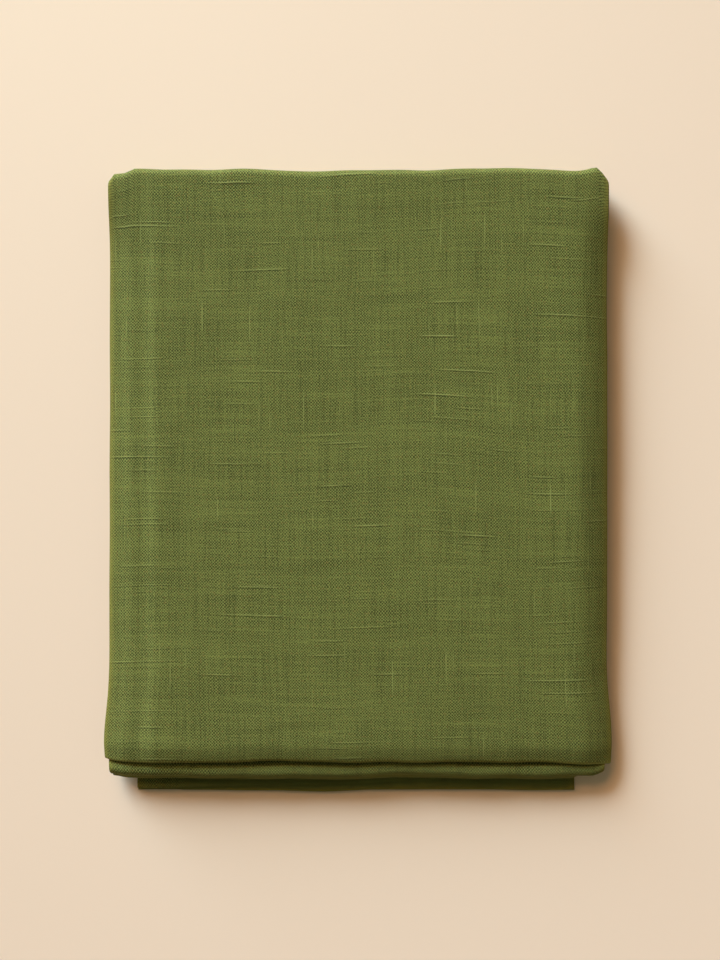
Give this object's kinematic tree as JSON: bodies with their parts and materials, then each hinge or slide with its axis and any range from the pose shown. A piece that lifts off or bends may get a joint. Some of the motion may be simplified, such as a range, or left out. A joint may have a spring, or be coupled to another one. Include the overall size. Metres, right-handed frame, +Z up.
{
  "type": "folded linen tablecloth",
  "caption": "Linen tablecloth folded into a flat rectangular packet that opens like an accordion along its length, with hemmed ends and rounded side folds.",
  "frame": {"origin": "centre of the packet's underside, on the surface it rests on", "axes": "+X to the edge with the nested double folds, +Y to the back creases, +Z up out of the resting surface"},
  "size_m": [0.351, 0.44, 0.0233],
  "materials": {
    "linen": "plain-woven slubby linen, moss green, matt",
    "thread": "spun sewing thread, slight sheen"
  },
  "bodies": {
    "panel_1": {"panel_1_lower_leaf": "linen", "panel_1_lower_end_hem": "linen", "panel_1_lower_first_hem_thread": "thread", "panel_1_lower_second_hem_thread": "thread", "panel_1_upper_leaf": "linen", "panel_1_upper_end_hem": "linen", "panel_1_upper_first_hem_thread": "thread", "panel_1_upper_second_hem_thread": "thread"},
    "panel_2": {"panel_2_lower_leaf": "linen", "panel_2_lower_first_hem_thread": "thread", "panel_2_lower_second_hem_thread": "thread", "panel_2_upper_leaf": "linen", "panel_2_upper_first_hem_thread": "thread", "panel_2_upper_second_hem_thread": "thread"},
    "panel_3": {"panel_3_lower_leaf": "linen", "panel_3_lower_first_hem_thread": "thread", "panel_3_lower_second_hem_thread": "thread", "panel_3_upper_leaf": "linen", "panel_3_upper_first_hem_thread": "thread", "panel_3_upper_second_hem_thread": "thread"},
    "panel_4": {"panel_4_lower_leaf": "linen", "panel_4_lower_first_hem_thread": "thread", "panel_4_lower_second_hem_thread": "thread", "panel_4_upper_leaf": "linen", "panel_4_upper_first_hem_thread": "thread", "panel_4_upper_second_hem_thread": "thread", "panel_4_end_fold": "linen"}
  },
  "joints": [
    {"name": "fold_1_2", "type": "hinge", "parent": "panel_1", "child": "panel_2", "pos_m": [0, 0.2171, 0.00562], "axis": [-1, 0, 0], "range_deg": [0, 179.5]},
    {"name": "fold_2_3", "type": "hinge", "parent": "panel_2", "child": "panel_3", "pos_m": [0, -0.2101, 0.01164], "axis": [1, 0, 0], "range_deg": [0, 179.5]},
    {"name": "fold_3_4", "type": "hinge", "parent": "panel_3", "child": "panel_4", "pos_m": [0, 0.2201, 0.01766], "axis": [-1, 0, 0], "range_deg": [0, 179.5]}
  ]
}
